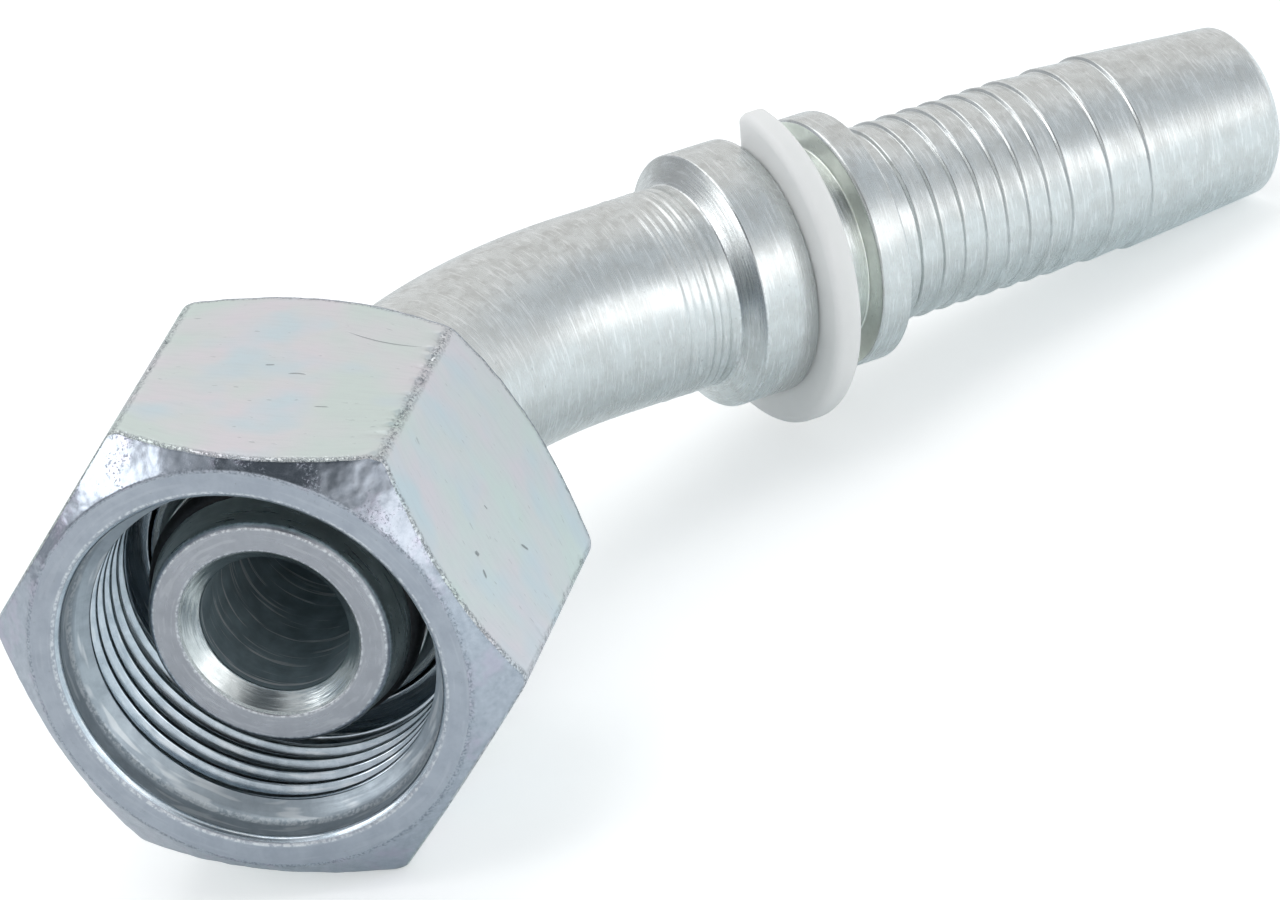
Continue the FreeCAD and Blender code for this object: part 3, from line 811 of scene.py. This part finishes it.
def natural_nylon():
    """Uncoloured nylon: milky white, lets a little light in, with a waxy surface."""
    material, tree, out = blank("natural_nylon_moulded")
    place = in_mm(tree)
    cloud = add(tree, "ShaderNodeTexNoise", {"Vector": place, "Scale": 0.5, "Detail": 2.0,
                "Roughness": 0.55}).outputs[0]
    fine = add(tree, "ShaderNodeTexNoise", {"Vector": place, "Scale": 3.0, "Detail": 2.0,
               "Roughness": 0.55}).outputs[0]
    colour = add(tree, "ShaderNodeMix", {"Factor": cloud, 6: "#E8E9E8", 7: "#E1E2E1"},
                 data_type="RGBA").outputs[2]
    relief = add(tree, "ShaderNodeBump", {"Strength": 0.3, "Distance": 0.02 * mm, "Height": fine})
    skin = add(tree, "ShaderNodeBsdfPrincipled", {"Base Color": colour, "Roughness": 0.42,
               "Subsurface Weight": 0.9, "Subsurface Radius": (1.0, 1.0, 1.0),
               "Subsurface Scale": 2.5 * mm, "Normal": relief.outputs[0]})
    tree.links.new(skin.outputs[0], out.inputs[0])
    return material


def clip_mesh(rounding, steps, around):
    """Bar of rounded section bent to an open ring, whose outer corners are rounded off at both ends."""
    middle = ((clip_front + clip_rear) / 2, (clip_inner_r + clip_outer_r) / 2)
    half = ((clip_rear - clip_front) / 2 - rounding, (clip_outer_r - clip_inner_r) / 2 - rounding)
    section = []
    for corner, (a, b) in enumerate(((1, 1), (-1, 1), (-1, -1), (1, -1))):
        for k in range(steps + 1):
            turn = pi / 2 * (corner + k / steps)
            section.append((middle[0] + a * half[0] + rounding * cos(turn),
                            middle[1] + b * half[1] + rounding * sin(turn)))
    section = np.array(section)
    start = clip_opening_middle + clip_opening / 2
    end = start + 2 * pi - clip_opening
    end_round = 0.9
    inward = end_round * (1 - np.cos(np.linspace(0, pi / 2, 9)))
    near = inward / clip_outer_r
    angles = np.concatenate([start + near, np.linspace(start + near[-1], end - near[-1], around)[1:-1],
                             end - near[::-1]])
    from_end = clip_outer_r * np.minimum(angles - start, end - angles)
    short = end_round - np.sqrt(np.maximum(end_round ** 2 - np.maximum(end_round - from_end, 0) ** 2, 0))
    thin = 1 - 0.25 * np.clip(1 - from_end / 0.4, 0, 1) ** 2
    rows = np.repeat(section[None], len(angles), axis=0)
    rows[..., 0] = middle[0] + (rows[..., 0] - middle[0]) * thin[:, None]
    kept = 1 - short / (clip_outer_r - clip_inner_r)
    rows[..., 1] = clip_inner_r + (rows[..., 1] - clip_inner_r) * kept[:, None]
    points = along_stem(rows[..., 0], rows[..., 1], angles[:, None]).reshape(-1, 3)
    count = len(section)
    faces = []
    for j in range(len(angles) - 1):
        here, following = j * count, (j + 1) * count
        for i in range(count):
            faces.append((here + i, here + (i + 1) % count, following + (i + 1) % count, following + i))
    last = (len(angles) - 1) * count
    faces += [tuple(range(count))[::-1], tuple(range(last, last + count))]
    mesh = bpy.data.meshes.new("clip")
    mesh.from_pydata(points.tolist(), [], faces)
    mesh.update()
    return mesh


clip = show("clip", clip_mesh(rounding=0.6, steps=7, around=140), [natural_nylon()], sharp=50)
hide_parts("locking_clip")
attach(clip, "stem")

# The bench, the light and the camera
# White paper under soft boxes. The paper shows pure white to the camera where no shadow falls on it.

floor_z = cad_box[0][2]
middle = Vector([(low + high) / 2 for low, high in zip(*cad_box)])


def white_paper():
    """White seamless paper.

    The camera sees it lifted to white, and reflections see it glow with a painted cool pool of light,
    brightest on the right.
    """
    material, tree, out = blank("white_paper")
    path = add(tree, "ShaderNodeLightPath").outputs
    place = in_mm(tree)
    sideways = add(tree, "ShaderNodeSeparateXYZ", {0: place}).outputs[1]
    under = (0, 0, floor_z / mm)
    far = add(tree, "ShaderNodeVectorMath", {0: place, 1: under}, operation="DISTANCE").outputs[1]
    # Painted pool of light for reflections: the paper glows more towards the right and less far off
    share = add(tree, "ShaderNodeMapRange", {"Value": sideways, "From Min": -60, "From Max": 20,
                "To Min": 0.95, "To Max": 0.2}).outputs[0]
    other_share = add(tree, "ShaderNodeMapRange", {"Value": far, "From Min": 90, "From Max": 260,
                      "To Min": 1.0, "To Max": 0.5}).outputs[0]
    pool = add(tree, "ShaderNodeMath", {0: share, 1: other_share}, operation="MULTIPLY").outputs[0]
    seen = add(tree, "ShaderNodeMath", {0: path["Is Glossy Ray"], 1: pool, 2: path["Is Camera Ray"]},
               operation="MULTIPLY_ADD").outputs[0]
    fibre = add(tree, "ShaderNodeTexNoise", {"Vector": place, "Scale": 0.5, "Detail": 2.0,
                "Roughness": 0.55}).outputs[0]
    colour = add(tree, "ShaderNodeMix", {"Factor": fibre, 6: "#F0F2F2", 7: "#EDEFEF"},
                 data_type="RGBA").outputs[2]
    paper = add(tree, "ShaderNodeBsdfDiffuse", {"Color": colour}).outputs[0]
    # Cool painted tint on the glow that reflections see; the camera sees the lift white
    glow_tint = add(tree, "ShaderNodeMix", {"Factor": path["Is Camera Ray"], 6: "#CFE2EA", 7: "#FFFFFF"},
               data_type="RGBA").outputs[2]
    lift = add(tree, "ShaderNodeEmission", {"Color": glow_tint, "Strength": 0.38}).outputs[0]
    lifted = add(tree, "ShaderNodeAddShader", {0: paper, 1: lift}).outputs[0]
    mix = add(tree, "ShaderNodeMixShader", {0: seen, 1: paper, 2: lifted})
    tree.links.new(mix.outputs[0], out.inputs[0])
    return material


paper_mesh = bpy.data.meshes.new("paper")
reach = 3.0
paper_mesh.from_pydata([(x * reach, y * reach, floor_z) for x, y in ((-1, -1), (1, -1), (1, 1), (-1, 1))],
                       [], [(0, 1, 2, 3)])
paper_mesh.materials.append(white_paper())
paper = bpy.data.objects.new("paper", paper_mesh)
bpy.context.scene.collection.objects.link(paper)


def soft_box(name, way, distance, width, height, watts):
    """Rectangular area light standing off in a direction given in the stem's own axes, facing the part."""
    light = bpy.data.lights.new(name, "AREA")
    light.shape = "RECTANGLE"
    light.size, light.size_y = width, height
    light.energy = watts
    lamp = bpy.data.objects.new(name, light)
    offset = Vector(way).normalized() * distance
    lamp.location = middle + offset
    lamp.rotation_euler = (-offset).to_track_quat("-Z", "Y").to_euler()
    bpy.context.scene.collection.objects.link(lamp)


soft_box("top_box", (0.15, 0.25, 1.0), 0.9, 0.8, 0.8, 2.0)
soft_box("right_box", (-0.46, -0.87, 0.12), 0.7, 0.8, 0.46, 0.97)
soft_box("left_box", (-0.43, 0.74, 0.52), 0.9, 0.42, 0.34, 1.1)

# A white room: dark above the photographer, grey on the left and a little dimmer up on the right
world = bpy.data.worlds.new("studio")
world.use_nodes = True
sky = world.node_tree
sky.nodes.clear()
ray = add(sky, "ShaderNodeLightPath").outputs["Is Camera Ray"]
away = add(sky, "ShaderNodeTexCoord").outputs["Generated"]
room = "#F9FAFB"
for direction, start, end, shade in (((-0.62, -0.10, 0.78), 0.85, 0.96, "#50565B"),
                                     ((-0.15, 0.93, 0.33), 0.45, 0.85, "#B4B7BB"),
                                     ((0.80, 0.05, 0.60), 0.70, 0.97, "#EEEDEC"),
                                     ((0.10, -0.70, 0.72), 0.80, 0.97, "#CBD1D6")):
    toward = add(sky, "ShaderNodeVectorMath", {0: away, 1: Vector(direction).normalized()},
                 operation="DOT_PRODUCT").outputs[1]
    share = add(sky, "ShaderNodeMapRange", {"Value": toward, "From Min": start, "From Max": end}).outputs[0]
    room = add(sky, "ShaderNodeMix", {"Factor": share, 6: room, 7: shade}, data_type="RGBA").outputs[2]
walls = add(sky, "ShaderNodeBackground", {"Color": room, "Strength": 1.01}).outputs[0]
white = add(sky, "ShaderNodeBackground", {"Color": (1, 1, 1, 1), "Strength": 1.0}).outputs[0]
mixed = add(sky, "ShaderNodeMixShader", {0: ray, 1: walls, 2: white}).outputs[0]
add(sky, "ShaderNodeOutputWorld", {0: mixed})
bpy.context.scene.world = world

# The camera that took the photo: distance and aim in mm, in the stem's own axes
photo_distance = 466.67
photo_azimuth = radians(14.67)
photo_elevation = radians(30.02)
photo_roll = radians(-2.08)
photo_focal_px, photo_width_px = 7199.0, 1280.0
aim_forward, aim_sideways = nose_leg - 6.978, -17.367
forward = Vector((cos(photo_azimuth) * cos(photo_elevation), sin(photo_azimuth) * cos(photo_elevation),
                  -sin(photo_elevation)))
right = forward.cross(Vector((0, 0, 1))).normalized()
upward = right.cross(forward)
turned_right = cos(photo_roll) * right + sin(photo_roll) * upward
turned_up = cos(photo_roll) * upward - sin(photo_roll) * right
lie = Matrix((leg_way, side_way, up_way)).transposed()
eye = Vector((aim_forward, aim_sideways, 0)) - photo_distance * forward
camera_data = bpy.data.cameras.new("camera")
camera_data.sensor_width = 36.0
camera_data.lens = camera_data.sensor_width * photo_focal_px / photo_width_px
camera_data.clip_start = 0.01
camera = bpy.data.objects.new("camera", camera_data)
turn = (lie @ Matrix((turned_right, turned_up, -forward)).transposed()).to_4x4()
camera.matrix_world = Matrix.Translation(mm * (lie @ eye)) @ turn
bpy.context.scene.collection.objects.link(camera)
bpy.context.scene.camera = camera
bpy.context.scene.view_settings.view_transform = "Standard"
